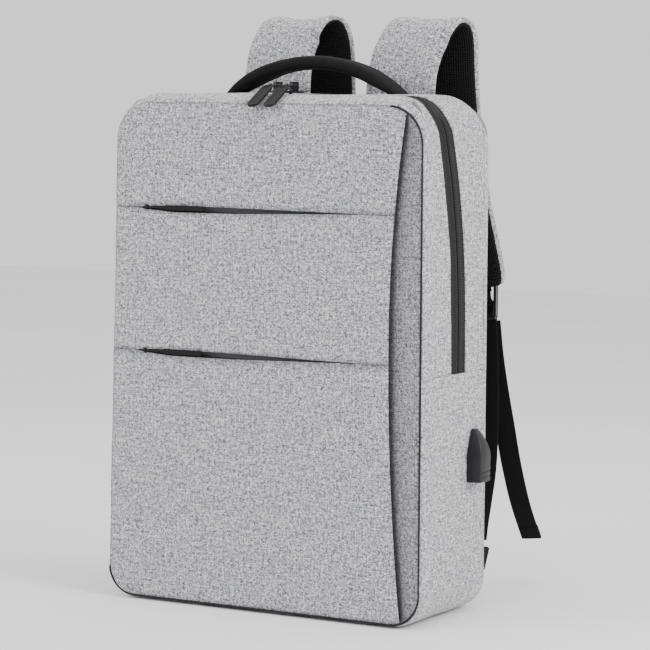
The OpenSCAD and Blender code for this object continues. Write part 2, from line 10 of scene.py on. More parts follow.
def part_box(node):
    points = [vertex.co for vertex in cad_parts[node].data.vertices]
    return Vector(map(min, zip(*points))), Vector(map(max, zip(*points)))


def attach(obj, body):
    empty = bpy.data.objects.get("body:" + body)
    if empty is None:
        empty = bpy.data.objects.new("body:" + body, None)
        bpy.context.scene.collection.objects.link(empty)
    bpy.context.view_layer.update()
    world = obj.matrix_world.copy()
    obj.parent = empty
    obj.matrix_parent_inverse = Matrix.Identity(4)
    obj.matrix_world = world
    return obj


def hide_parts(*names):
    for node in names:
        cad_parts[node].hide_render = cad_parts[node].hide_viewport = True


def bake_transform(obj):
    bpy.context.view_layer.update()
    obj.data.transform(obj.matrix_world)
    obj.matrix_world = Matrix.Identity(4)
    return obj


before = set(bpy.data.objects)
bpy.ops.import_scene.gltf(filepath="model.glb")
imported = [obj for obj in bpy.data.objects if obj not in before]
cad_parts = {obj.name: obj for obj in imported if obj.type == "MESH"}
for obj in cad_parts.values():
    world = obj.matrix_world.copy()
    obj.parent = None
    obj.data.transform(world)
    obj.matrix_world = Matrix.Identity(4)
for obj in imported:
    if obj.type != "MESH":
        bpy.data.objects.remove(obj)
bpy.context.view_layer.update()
MM = 0.001


# ---- What the frame says ----

def low(node):
    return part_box(node)[0] / MM


def high(node):
    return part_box(node)[1] / MM


FRONT_Y = low("piping_lower").y          # outer face of the front
HALF_W = high("piping_lower").x          # half of the width at the base
FRONT_H = high("piping_upper").z + 1.5   # seam along the front's top edge
BODY_H = high("rear_gusset").z
BACK_Y = high("back_panel").y            # outer face of the back at the base
SEAM_Z = high("side_panel_right").z      # seam that ends the zipper at each side
SEAM_IN = 1.5                            # from the sides to the seam round the front
SLOT_UPPER = high("overlay_middle").z
SLOT_LOWER = high("overlay_lower").z
SLOT_X0 = low("pocket_tapes_upper").x + 4
SLOT_X1 = high("pocket_tapes_upper").x - 4
SLOT_GAPE = 4.8                          # how wide a slot stands open at its widest
TOP_HALF = HALF_W - 4.5                  # half of the width just under the top corners
BACK_LEAN = 10
TOP_R = 34
BASE_R = 26
BAND = 29                                # width of the zipper band
BROW_D = 22
BROW_H = BODY_H - FRONT_H - 2
BACK_SEAM = 16                           # from the back face to the seam around it
BACK_TOP_R = 30                          # rounding of the back's edge at the top,
BACK_BASE_R = 22                         # at the base
BACK_SIDE_R = 15                         # and at the sides
SKIN = 2.6                               # thickness of the padded cloth


def clamp(value, least=0.0, most=1.0):
    return max(least, min(most, value))


def smooth(value):
    t = clamp(value)
    return t * t * (3 - 2 * t)


def mix(a, b, t):
    return a + (b - a) * t


def side_x(z):
    return mix(HALF_W, TOP_HALF, z / BODY_H)


def back_y(z):
    return BACK_Y - BACK_LEAN * z / BODY_H


def zip_y(z):
    """The middle of the zipper band, which leans forwards towards the top."""
    return mix(-1, -34, clamp((z - 240) / 185) ** 2.2)


def fold_x(z):
    """The folded right edge of the overlay panels, bowing out at the top and bottom."""
    reach = FRONT_H - 250 if z > 250 else 242
    return 119.5 + 14 * ((z - 250) / reach) ** 2


def rounding(distance, radius):
    """How far a rounded edge falls back at this distance from the face that it leads to."""
    d = clamp(distance, 0, radius)
    return radius - math.sqrt(radius * radius - (radius - d) ** 2)


def seam_roll(y):
    """How far the gussets turn in where they meet the front."""
    return (SEAM_IN - 0.1) * (1 - smooth((y - FRONT_Y - 0.8) / 7))


def top_z(y):
    rise = BROW_H * (1 - (1 - clamp((y - FRONT_Y) / BROW_D)) ** 1.25) - seam_roll(y)
    return FRONT_H + rise + 2 * clamp((y - FRONT_Y) / 130) - rounding(back_y(420) - y, BACK_TOP_R)


def bottom_z(y):
    return 0.3 + rounding(y - FRONT_Y, 4) + rounding(back_y(10) - y, BACK_BASE_R)


def side_inset(y):
    return seam_roll(y) + rounding(back_y(200) - y, BACK_SIDE_R)


def outline_x(z, inset):
    """Half of the front's width at height z, inside its seam."""
    base_r, top_r, top = BASE_R - inset, TOP_R - inset, FRONT_H - inset
    if z > top - top_r:
        middle = top - top_r
        return side_x(middle) - inset - top_r + math.sqrt(max(0, top_r ** 2 - (z - middle) ** 2))
    if z < inset + base_r:
        middle = inset + base_r
        return side_x(middle) - inset - base_r + math.sqrt(max(0, base_r ** 2 - (z - middle) ** 2))
    return side_x(z) - inset


# ---- Meshes ----

def make_object(name, points, faces, threads=None, painted_shade=None):
    """A mesh from points in millimetres. threads holds a place on the cloth for each point, and
    painted_shade the shade painted into its colour where it lies deep in a seam or under a fold,
    from 0 to 1."""
    mesh = bpy.data.meshes.new(name)
    mesh.from_pydata([tuple(c * MM for c in p) for p in points], [], faces)
    mesh.update()
    obj = bpy.data.objects.new(name, mesh)
    bpy.context.scene.collection.objects.link(obj)
    if threads is not None:
        layer = mesh.attributes.new("thread", "FLOAT_VECTOR", "POINT")
        layer.data.foreach_set("vector", np.array([(u * MM, v * MM, 0) for u, v in threads],
                                                  np.float32).ravel())
    if painted_shade is not None:
        mesh.attributes.new("painted_shade", "FLOAT", "POINT").data.foreach_set("value", painted_shade)
    mesh.shade_smooth()
    return obj


def grid_faces(rows, columns, closed=False, flip=False):
    faces = []
    for i in range(rows - 1):
        for j in range(columns if closed else columns - 1):
            k = (j + 1) % columns
            quad = (i * columns + j, i * columns + k, (i + 1) * columns + k, (i + 1) * columns + j)
            faces.append(quad[::-1] if flip else quad)
    return faces


def freeze(obj):
    """Applies the object's modifiers."""
    graph = bpy.context.evaluated_depsgraph_get()
    mesh = bpy.data.meshes.new_from_object(obj.evaluated_get(graph))
    obj.modifiers.clear()
    obj.data = mesh
    return obj


def ruffle(obj, layers):
    """Moves each point along its normal by smooth noise; layers are (height mm, size mm, seed)."""
    mesh = obj.data
    for vertex, normal in zip(mesh.vertices, [v.normal.copy() for v in mesh.vertices]):
        place = vertex.co / MM
        height = sum(tall * noise.noise(place / wide + Vector((seed, 0, 0)))
                     for tall, wide, seed in layers)
        vertex.co += normal * height * MM
    mesh.update()


def thicken(obj, thickness, bevel, segments=3):
    """Gives a single-faced cloth its thickness, inwards, and rounds the edges."""
    solid = obj.modifiers.new("thickness", "SOLIDIFY")
    solid.thickness = thickness * MM
    solid.offset = -1
    edge = obj.modifiers.new("edge", "BEVEL")
    edge.width = bevel * MM
    edge.segments = segments
    edge.limit_method = "ANGLE"
    edge.angle_limit = math.radians(50)
    return freeze(obj)


def soften_cad(node, width):
    """Small rounded edges on a CAD node that stays."""
    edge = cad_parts[node].modifiers.new("edge", "BEVEL")
    edge.width = width * MM
    edge.segments = 2
    edge.limit_method = "ANGLE"
    edge.angle_limit = math.radians(35)


# ---- Materials ----

def new_material(name, roughness, **settings):
    mat = bpy.data.materials.new(name)
    mat.use_nodes = True
    shader = mat.node_tree.nodes["Principled BSDF"]
    shader.inputs["Roughness"].default_value = roughness
    for key, value in settings.items():
        shader.inputs[key.replace("_", " ")].default_value = value
    return mat


def add(mat, kind, *inputs, **settings):
    """A node with its inputs in order: a number, a vector, an output to link, or None."""
    made = mat.node_tree.nodes.new("ShaderNode" + kind)
    for key, value in settings.items():
        setattr(made, key, value)
    for socket, value in zip(made.inputs, inputs):
        if isinstance(value, bpy.types.NodeSocket):
            mat.node_tree.links.new(value, socket)
        elif value is not None:
            socket.default_value = value
    return made.outputs[0]


def math_node(mat, operation, a, b=0.0):
    return add(mat, "Math", a, b, operation=operation)


def stretched(mat, source, scale):
    return add(mat, "VectorMath", source, scale, operation="MULTIPLY")


def noise_value(mat, vector, scale, detail=2.0, roughness=0.5):
    made = mat.node_tree.nodes.new("ShaderNodeTexNoise")
    mat.node_tree.links.new(vector, made.inputs["Vector"])
    made.inputs["Scale"].default_value = scale
    made.inputs["Detail"].default_value = detail
    made.inputs["Roughness"].default_value = roughness
    return made.outputs[0]


def ramp(mat, value, stops):
    made = mat.node_tree.nodes.new("ShaderNodeValToRGB")
    mat.node_tree.links.new(value, made.inputs[0])
    elements = made.color_ramp.elements
    while len(elements) < len(stops):
        elements.new(0.5)
    for element, (place, colour) in zip(elements, stops):
        element.position = place
        element.color = (*colour, 1)
    return made.outputs[0]


def set_colour(mat, colour):
    mat.node_tree.links.new(colour, mat.node_tree.nodes["Principled BSDF"].inputs["Base Color"])


def set_bump(mat, height, strength, distance):
    made = mat.node_tree.nodes.new("ShaderNodeBump")
    made.inputs["Strength"].default_value = strength
    made.inputs["Distance"].default_value = distance * MM
    mat.node_tree.links.new(height, made.inputs["Height"])
    shader = mat.node_tree.nodes["Principled BSDF"]
    mat.node_tree.links.new(made.outputs[0], shader.inputs["Normal"])


def set_roughness(mat, value, least, most):
    made = mat.node_tree.nodes.new("ShaderNodeMapRange")
    mat.node_tree.links.new(value, made.inputs[0])
    made.inputs[3].default_value = least
    made.inputs[4].default_value = most
    shader = mat.node_tree.nodes["Principled BSDF"]
    mat.node_tree.links.new(made.outputs[0], shader.inputs["Roughness"])


def cloth_place(mat):
    made = mat.node_tree.nodes.new("ShaderNodeAttribute")
    made.attribute_name = "thread"
    return made.outputs["Vector"]


def object_place(mat):
    made = mat.node_tree.nodes.new("ShaderNodeTexCoord")
    return made.outputs["Object"]


def heather_material():
    """Two-tone polyester: pale and dark yarns mixed across and along the cloth, with painted shade
    mixed in towards near-black from the painted_shade attribute.
    """
    mat = new_material("heather fabric", 0.92, Sheen_Weight=0.25, Sheen_Roughness=0.6,
                       Specular_IOR_Level=0.15)
    place = cloth_place(mat)
    weft = noise_value(mat, stretched(mat, place, (500, 1250, 1)), 1.0, 2, 0.6)
    warp = noise_value(mat, stretched(mat, place, (1250, 500, 1)), 1.0, 2, 0.6)
    long_weft = noise_value(mat, stretched(mat, place, (60, 800, 1)), 1.0, 2, 0.5)
    long_warp = noise_value(mat, stretched(mat, place, (800, 60, 1)), 1.0, 2, 0.5)
    clumps = noise_value(mat, place, 330, 2, 0.6)
    threads = math_node(mat, "ADD", math_node(mat, "MULTIPLY", weft, 0.34),
                        math_node(mat, "MULTIPLY", warp, 0.28))
    runs = math_node(mat, "ADD", math_node(mat, "MULTIPLY", long_weft, 0.12),
                     math_node(mat, "MULTIPLY", long_warp, 0.12))
    total = math_node(mat, "ADD", math_node(mat, "ADD", threads, runs),
                      math_node(mat, "MULTIPLY", clumps, 0.23))
    yarns = ramp(mat, total, [(0.455, (0.038, 0.039, 0.044)), (0.515, (0.195, 0.197, 0.211)),
                              (0.56, (0.345, 0.346, 0.362)), (0.62, (0.680, 0.680, 0.690))])
    # Painted shade: where the painted_shade attribute is high the colour goes towards near-black, for
    # the shade deep in seams and under the fold.
    painted_shade_attribute = mat.node_tree.nodes.new("ShaderNodeAttribute")
    painted_shade_attribute.attribute_name = "painted_shade"
    shaded = mat.node_tree.nodes.new("ShaderNodeMix")
    shaded.data_type = "RGBA"
    mat.node_tree.links.new(painted_shade_attribute.outputs["Fac"], shaded.inputs[0])
    mat.node_tree.links.new(yarns, shaded.inputs[6])
    shaded.inputs[7].default_value = (0.02, 0.02, 0.022, 1)
    set_colour(mat, shaded.outputs[2])
    set_bump(mat, threads, 0.5, 0.35)
    return mat


def weave_material(name, dark, light, across, along, roughness=0.75, bump=0.5, deep=0.3):
    """Plain woven cloth; across and along are its yarns' spacing in millimetres."""
    mat = new_material(name, roughness, Specular_IOR_Level=0.12)
    place = cloth_place(mat)
    node_xyz = add(mat, "SeparateXYZ", place).node
    tau = 2 * math.pi / MM
    u_wave = math_node(mat, "SINE", math_node(mat, "MULTIPLY", node_xyz.outputs[0], tau / across))
    v_wave = math_node(mat, "SINE", math_node(mat, "MULTIPLY", node_xyz.outputs[1], tau / along))
    cross = math_node(mat, "MULTIPLY", u_wave, v_wave)
    fuzz = noise_value(mat, place, 900, 3, 0.6)
    height = math_node(mat, "ADD", math_node(mat, "MULTIPLY", cross, 0.35), fuzz)
    set_colour(mat, ramp(mat, height, [(0.2, dark), (0.9, light)]))
    set_bump(mat, height, bump, deep)
    return mat


def ribbed_material(name, dark, light, rib, roughness=0.6):
    """Zipper tape: close ribs across its length."""
    mat = new_material(name, roughness, Specular_IOR_Level=0.15)
    place = cloth_place(mat)
    node_xyz = add(mat, "SeparateXYZ", place).node
    wave = math_node(mat, "SINE", math_node(mat, "MULTIPLY", node_xyz.outputs[1],
                                            2 * math.pi / (rib * MM)))
    fuzz = noise_value(mat, place, 700, 3, 0.6)
    height = math_node(mat, "ADD", math_node(mat, "MULTIPLY", wave, 0.3), fuzz)
    set_colour(mat, ramp(mat, height, [(0.2, dark), (0.85, light)]))
    set_bump(mat, height, 0.7, 0.4)
    return mat


def air_mesh_material():
    """Black spacer mesh: rows of diamond holes."""
    mat = new_material("air mesh", 0.85, Specular_IOR_Level=0.2)
    place = cloth_place(mat)
    node_xyz = add(mat, "SeparateXYZ", place).node
    tau = 2 * math.pi / MM
    u = math_node(mat, "MULTIPLY", node_xyz.outputs[0], tau / 4.6)
    v = math_node(mat, "MULTIPLY", node_xyz.outputs[1], tau / 3.8)
    first = math_node(mat, "SINE", math_node(mat, "ADD", u, v))
    second = math_node(mat, "SINE", math_node(mat, "SUBTRACT", u, v))
    holes = math_node(mat, "MULTIPLY", first, second)
    fuzz = noise_value(mat, place, 800, 3, 0.6)
    height = math_node(mat, "ADD", math_node(mat, "MULTIPLY", holes, 0.5),
                       math_node(mat, "MULTIPLY", fuzz, 0.5))
    set_colour(mat, ramp(mat, height, [(0.0, (0.001, 0.001, 0.001)), (0.35, (0.005, 0.005, 0.005)),
                                       (0.7, (0.016, 0.016, 0.017))]))
    set_bump(mat, height, 0.9, 0.9)
    return mat


def moulded_material(name, colour, roughness, spread=0.08, grain=900, bump=0.12, **settings):
    """Moulded plastic, rubber or plated metal with a fine grain and slight wear."""
    mat = new_material(name, roughness, **settings)
    place = object_place(mat)
    grains = noise_value(mat, place, grain, 3, 0.6)
    wear = noise_value(mat, place, 60, 3, 0.6)
    lighter = tuple(c * 1.35 + 0.004 for c in colour)
    darker = tuple(c * 0.75 for c in colour)
    set_colour(mat, ramp(mat, wear, [(0.3, darker), (0.55, colour), (0.8, lighter)]))
    set_roughness(mat, wear, max(0.05, roughness - spread), roughness + spread)
    set_bump(mat, grains, bump, 0.08)
    return mat


HEATHER = heather_material()
LINING = weave_material("lining cloth", (0.12, 0.12, 0.125), (0.22, 0.22, 0.23), 0.6, 0.6)
BLACK_WEAVE = weave_material("webbing", (0.002, 0.002, 0.002), (0.012, 0.0115, 0.011), 1.6, 1.2,
                             0.8, 0.7, 0.4)
HANDLE_CLOTH = weave_material("handle cloth", (0.002, 0.002, 0.002), (0.012, 0.012, 0.0125), 0.9,
                              0.9, 0.7, 0.5, 0.25)
TAPE = ribbed_material("zipper tape", (0.003, 0.003, 0.003), (0.020, 0.020, 0.021), 1.3)
COIL = ribbed_material("zipper coil", (0.006, 0.006, 0.006), (0.035, 0.035, 0.036), 1.4, 0.45)
PIPING = weave_material("piping cloth", (0.008, 0.008, 0.009), (0.035, 0.035, 0.038), 0.8, 0.8)
AIR_MESH = air_mesh_material()
PORT_SIDE = moulded_material("port plastic", (0.011, 0.011, 0.013), 0.45, Specular_IOR_Level=0.3)
PLASTIC = moulded_material("black plastic", (0.010, 0.010, 0.011), 0.35, Specular_IOR_Level=0.5)
RUBBER = moulded_material("tab rubber", (0.004, 0.0038, 0.0036), 0.42, 0.06, 500, 0.05,
                          Specular_IOR_Level=0.18)
GUNMETAL = moulded_material("gunmetal", (0.045, 0.045, 0.048), 0.28, 0.08, 400, 0.05, Metallic=1.0)
STEEL = moulded_material("steel", (0.55, 0.55, 0.57), 0.25, 0.07, 400, 0.05, Metallic=1.0)
BOARD = moulded_material("board", (0.05, 0.05, 0.055), 0.7)
PULL = weave_material("pull cloth", (0.006, 0.006, 0.006), (0.020, 0.020, 0.021), 0.8, 0.8)


def paint(obj, mat):
    obj.data.materials.clear()
    obj.data.materials.append(mat)
    return obj


def paint_cad(node, mat):
    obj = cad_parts[node]
    if not obj.data.materials:
        obj.data.materials.append(mat)
    for place in obj.material_slots:
        place.material = mat


# ---- The body's skin ----

RIM = ([("bottom", i / 20) for i in range(20)] + [("base corner", i / 14) for i in range(14)]
       + [("lower side", i / 34) for i in range(34)] + [("upper side", i / 36) for i in range(36)]
       + [("top corner", i / 16) for i in range(16)] + [("top", i / 30) for i in range(31)])


def rim_point(sample, y, inset=0.0):
    """(x, z) on the body's skin at depth y, from the bottom's middle up the +X side."""
    part, f = sample
    below = bottom_z(y) + inset
    above = top_z(y) - inset
    cut = side_inset(y) + inset
    if part == "bottom":
        return f * (side_x(below + BASE_R) - cut - BASE_R), below
    if part == "base corner":
        turn = f * math.pi / 2
        middle = side_x(below + BASE_R) - cut - BASE_R
        return middle + BASE_R * math.sin(turn), below + BASE_R * (1 - math.cos(turn))
    if part == "lower side":
        z = mix(below + BASE_R, SEAM_Z, f)
        return side_x(z) - cut, z
    if part == "upper side":
        z = mix(SEAM_Z, above - TOP_R, f)
        return side_x(z) - cut, z
    middle = side_x(above - TOP_R) - cut - TOP_R
    if part == "top corner":
        turn = f * math.pi / 2
        return middle + TOP_R * math.cos(turn), above - TOP_R * (1 - math.sin(turn))
    return middle * (1 - f), above


def rim_samples(parts, both=True):
    """The rim's samples in some parts, then the same ones mirrored, as (sample, side)."""
    right = [(s, 1) for s in RIM if s[0] in parts]
    if not both:
        return right
    left = [(s, -1) for s, _ in reversed(right)]
    return right + (left[1:] if left[0][0] == right[-1][0] and right[-1][0][0] == "top" else left)


def rim_length(sample):
    """A place along the rim for the cloth's yarns."""
    part, f = sample
    x, z = rim_point(sample, 0)
    if part == "bottom":
        return x
    if part == "base corner":
        return HALF_W - BASE_R + f * BASE_R * math.pi / 2
    if part in ("lower side", "upper side"):
        return HALF_W - BASE_R + BASE_R * math.pi / 2 + z
    if part == "top corner":
        return HALF_W + 430 + f * TOP_R * math.pi / 2
    return HALF_W + 430 + TOP_R * math.pi / 2 + f * 115


YARN_STRETCH = 0.7                       # the sides' yarns look longer from front to back


def skin_strip(name, samples, front, rear, rows, inset=0.0, spread=None):
    """A strip of the skin between two lines; front(z) and rear(z) are depths."""
    points, threads = [], []
    travelled = [0.0] * len(samples)
    for i in range(rows):
        t = i / (rows - 1)
        t = spread(t) if spread else t
        for k, (sample, side) in enumerate(samples):
            _, z = rim_point(sample, 0, inset)
            y = mix(front(z), rear(z), t)
            x, z = rim_point(sample, y, inset)
            if i:
                travelled[k] += math.dist(points[-len(samples)], (side * x, y, z))
            points.append((side * x, y, z))
            threads.append((travelled[k] * YARN_STRETCH, side * rim_length(sample)))
    return make_object(name, points, grid_faces(rows, len(samples), flip=True), threads)


SIDE_WRINKLES = [(0.9, 70, 3.1), (0.35, 26, 8.7), (0.08, 9, 1.3)]
UP = ("upper side", "top corner", "top")
BASE = ("bottom", "base corner")
ALL_ROUND = BASE + ("lower side",) + UP


def bend_at_crease(obj):
    """Bakes the piece's transform into its mesh. The piece crosses the line that the front folds down
    along, but is not bent there.
    """
    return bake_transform(obj)


def seam_y(_):
    """The skin starts at the same depth at every height."""
    return FRONT_Y + 1.9


def build_gussets():
    front = skin_strip("front_gusset", rim_samples(UP), seam_y,
                       lambda z: zip_y(z) - BAND / 2 + 0.6, 16)
    ruffle(front, SIDE_WRINKLES)
    thicken(front, SKIN, 0.9)
    paint(front, HEATHER)
    bend_at_crease(front)
    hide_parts("front_gusset_lower", "front_gusset_upper")
    rear = skin_strip("rear_gusset_cloth", rim_samples(UP), lambda z: zip_y(z) + BAND / 2 - 0.6,
                      lambda z: back_y(z) - BACK_SEAM, 22)
    ruffle(rear, SIDE_WRINKLES)
    thicken(rear, SKIN, 0.9)
    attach(paint(rear, HEATHER), "bag")
    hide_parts("rear_gusset")


def build_sides():
    side_parts = ("base corner", "lower side")
    for name, node, side in (("side_cloth_right", "side_panel_right", 1),
                             ("side_cloth_left", "side_panel_left", -1)):
        samples = [(s, side) for s in RIM if s[0] in side_parts]
        samples += [(("upper side", 0.0), side)]
        samples = samples[::side]
        panel = skin_strip(name, samples, seam_y, lambda z: back_y(z) - BACK_SEAM, 30)
        ruffle(panel, SIDE_WRINKLES)
        thicken(panel, SKIN, 0.9)
        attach(paint(panel, HEATHER), "bag")
        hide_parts(node)
    base = [(s, 1) for s in RIM if s[0] == "bottom"] + [(("base corner", 0.0), 1)]
    base = [(s, -1) for s, _ in reversed(base)][:-1] + base
    panel = skin_strip("bottom_cloth", base, seam_y, lambda z: back_y(z) - BACK_SEAM, 30)
    ruffle(panel, [(0.5, 60, 2.2)])
    thicken(panel, SKIN, 0.9)
    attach(paint(panel, HEATHER), "bag")
    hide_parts("bottom_panel")


def build_back():
    """The back: a rounded rim and the flat inside it."""
    samples = rim_samples(ALL_ROUND)[:-1]
    rim = skin_strip("back_edge_cloth", samples + samples[:1], lambda z: back_y(z) - BACK_SEAM,
                     lambda z: back_y(z) - 0.4, 14, spread=lambda t: math.sin(t * math.pi / 2))
    ruffle(rim, [(0.4, 80, 5.0)])
    thicken(rim, SKIN, 0.6)
    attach(paint(rim, HEATHER), "bag")
    heights = [sample for sample, _ in rim_samples(("base corner", "lower side", "upper side",
                                                    "top corner"), False)] + [("top", 0.0)]
    columns = 26
    points, threads = [], []
    for sample in heights:
        _, z = rim_point(sample, 0)
        half, z = rim_point(sample, back_y(z) - 0.4)
        for j in range(columns):
            x = half * (1 - 2 * j / (columns - 1))
            points.append((x, back_y(z) - 0.4, z))
            threads.append((x, z))
    panel = make_object("back_cloth", points, grid_faces(len(heights), columns), threads)
    ruffle(panel, [(0.4, 80, 5.0)])
    thicken(panel, SKIN, 0.6)
    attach(paint(panel, HEATHER), "bag")
    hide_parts("back_panel")


def band_half(name, start, end, rows):
    """Half of the zipper band, raised a little over the coils. start and end are distances from
    the middle of the band."""
    samples = rim_samples(UP)
    points, threads = [], []
    for i in range(rows):
        t = i / (rows - 1)
        for sample, side in samples:
            _, z = rim_point(sample, 0, 1.2)
            y = zip_y(z) + mix(start, end, t)
            away = abs(mix(start, end, t)) / (BAND / 2)
            inset = 1.0 - 0.7 * math.exp(-((away - 0.26) / 0.20) ** 2)
            x, z = rim_point(sample, y, inset)
            points.append((side * x, y, z))
            threads.append((mix(start, end, t), side * rim_length(sample)))
    obj = make_object(name, points, grid_faces(rows, len(samples), flip=True), threads)
    thicken(obj, 1.0, 0.3, 2)
    return paint(obj, TAPE)


def build_zipper():
    front = band_half("zipper_band_front", -BAND / 2 - 2, -0.7, 12)
    bend_at_crease(front)
    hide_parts("zipper_tape_front")
    rear = band_half("zipper_band_rear", 0.7, BAND / 2 + 2, 12)
    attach(rear, "bag")
    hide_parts("zipper_tape_rear")


# ---- The front ----

def gape(x):
    """How wide a slot stands open along its length."""
    t = (x - SLOT_X0) / (SLOT_X1 - SLOT_X0)
    if not 0 < t < 1:
        return 0.0
    return SLOT_GAPE * min(1.0, t / 0.16) ** 0.8 * (1 - smooth((t - 0.30) / 0.70)) ** 0.8 + 0.35


def panel_x(z, t):
    left = -outline_x(z, SEAM_IN)
    right = min(fold_x(z), outline_x(z, SEAM_IN))
    return mix(left, right, t)


def front_panel(name, heights, slot_below=None, slot_above=None):
    """One overlay panel; heights run upwards, and each slot beside it has a curved lip."""
    columns = 110
    points, threads, painted_shade = [], [], []
    bottom, top = heights[0], heights[-1]
    for z0 in heights:
        for j in range(columns):
            t = j / (columns - 1)
            x = panel_x(z0, t)
            z, y = z0, FRONT_Y + 0.4
            across = math.sin(math.pi * t) ** 0.5
            along = math.sin(math.pi * clamp((z0 - bottom) / (top - bottom))) ** 0.5
            y -= 1.2 * across * along
            if slot_below is not None:
                near = math.exp(-((z0 - slot_below) / 16) ** 2)
                z += 0.35 * gape(x) * near
                y -= 0.25 * gape(x) * near
            if slot_above is not None:
                near = math.exp(-((slot_above - z0) / 20) ** 2)
                z -= 0.65 * gape(x) * near
                y -= 0.30 * gape(x) * math.exp(-((slot_above - z0) / 10) ** 2)
            # Rolls back to the seam round the outside, and to the fold at the right
            edge = min(x + outline_x(z0, SEAM_IN), FRONT_H - SEAM_IN - z0, z0 - SEAM_IN - 0.4)
            y += 1.5 * (1 - smooth(edge / 6.0)) ** 1.5
            y += 0.9 * (1 - smooth((1 - t) * 270 / 3.5))
            points.append((x, y, z))
            threads.append((x, z))
            seam = min(edge, top - z0, z0 - bottom)
            # Painted shade: the cloth is darkened within about a millimetre of its seams round the
            # outside and of the slots' lips.
            painted_shade.append(0.45 * math.exp(-max(0.0, seam) / 0.9))
    obj = make_object(name, points, grid_faces(len(heights), columns), threads, painted_shade)
    ruffle(obj, [(0.7, 85, 4.4), (0.25, 30, 7.1), (0.06, 10, 2.0)])
    thicken(obj, 2.0, 0.75)
    return paint(obj, HEATHER)


def build_front():
    seam = 0.12
    rows = 46
    bottom = SEAM_IN + 0.4
    top = FRONT_H - SEAM_IN
    lower = [bottom + (SLOT_LOWER - seam - bottom) * (1 - math.cos(i / rows * math.pi / 2))
             for i in range(rows + 1)]
    middle = [mix(SLOT_LOWER + seam, SLOT_UPPER - seam, i / 32) for i in range(33)]
    upper = [SLOT_UPPER + seam + (top - SLOT_UPPER - seam) * math.sin(i / 30 * math.pi / 2)
             for i in range(31)]
    panel = front_panel("overlay_cloth_lower", lower, slot_above=SLOT_LOWER)
    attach(panel, "bag")
    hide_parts("overlay_lower")
    panel = front_panel("overlay_cloth_middle", middle, SLOT_LOWER, SLOT_UPPER)
    bend_at_crease(panel)
    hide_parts("slot_facing", "overlay_middle")
    panel = front_panel("overlay_cloth_upper", upper, slot_below=SLOT_UPPER)
    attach(panel, "front_flap")
    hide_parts("overlay_upper")


def build_pleat():
    """The strip that runs back under the overlays' folded edge."""
    columns = 26
    points, threads, painted_shade = [], [], []
    heights = [mix(SEAM_IN + 1, FRONT_H - SEAM_IN - 2, 0.5 - 0.5 * math.cos(i / 90 * math.pi))
               for i in range(91)]
    for z in heights:
        right = outline_x(z, SEAM_IN - 0.3)
        left = min(fold_x(z) - 12, right - 2)
        for j in range(columns):
            x = mix(left, right, j / (columns - 1))
            beside = clamp((x - fold_x(z) + 2) / max(6.0, right - fold_x(z) + 2))
            deep = min(1.0, (right - left) / 24)
            y = FRONT_Y + 1.7 + 5.6 * deep * (1 - beside) ** 2
            y += 0.6 * (1 - smooth((right - x) / 4))
            points.append((x, y, z))
            threads.append((x, z))
            # Painted shade: the whole strip is darkened a little, and much more close beside the
            # fold's edge that stands over it.
            under = max(0.0, x - fold_x(z))
            painted_shade.append(min(1.0, 0.26 + 0.55 * math.exp(-under / 9)))
    obj = make_object("pleat_cloth", points, grid_faces(len(heights), columns), threads, painted_shade)
    ruffle(obj, [(0.5, 60, 9.4), (0.2, 22, 6.1)])
    thicken(obj, 1.6, 0.4, 2)
    paint(obj, HEATHER)
    bend_at_crease(obj)
    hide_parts("pleat_strip_lower", "pleat_strip_upper")


def build_piping():
    """A thin cord in the seam round the front: it shows at the right and the base, and is sunk
    out of sight elsewhere."""
    samples = rim_samples(ALL_ROUND)[:-1]
    sides = 8
    points, threads = [], []
    travelled = 0
    for i, (sample, side) in enumerate(samples):
        bare = side > 0 and sample[0] not in ("bottom", "top") or sample[0] in BASE
        sunk = SEAM_IN + (0.3 if bare else 1.2)
        radius = 0.95 if bare else 0.8
        x, z = rim_point(sample, FRONT_Y + 8, sunk)
        if sample[0] == "top corner":
            turn = sample[1] * math.pi / 2
            x = side_x(FRONT_H - TOP_R) - TOP_R + (TOP_R - sunk) * math.cos(turn)
            z = FRONT_H - TOP_R + (TOP_R - sunk) * math.sin(turn)
        elif sample[0] == "top":
            x, z = (side_x(FRONT_H - TOP_R) - TOP_R) * (1 - sample[1]), FRONT_H - sunk
        travelled += 3
        out = Vector((side * x, 0, z - FRONT_H / 2)).normalized()
        for k in range(sides):
            turn = 2 * math.pi * k / sides
            points.append((side * x + out.x * radius * math.cos(turn),
                           FRONT_Y + (0.8 if bare else 3.4) + radius * math.sin(turn),
                           z + out.z * radius * math.cos(turn)))
            threads.append((travelled, k))
    count = len(samples)
    faces = []
    for i in range(count):
        for k in range(sides):
            a, b = i * sides, ((i + 1) % count) * sides
            faces.append((a + k, a + (k + 1) % sides, b + (k + 1) % sides, b + k))
    obj = make_object("piping_cord", points, faces, threads)
    paint(obj, PIPING)
    bend_at_crease(obj)
    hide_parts("piping_lower", "piping_upper")


# ---- Straps, handle and pads ----

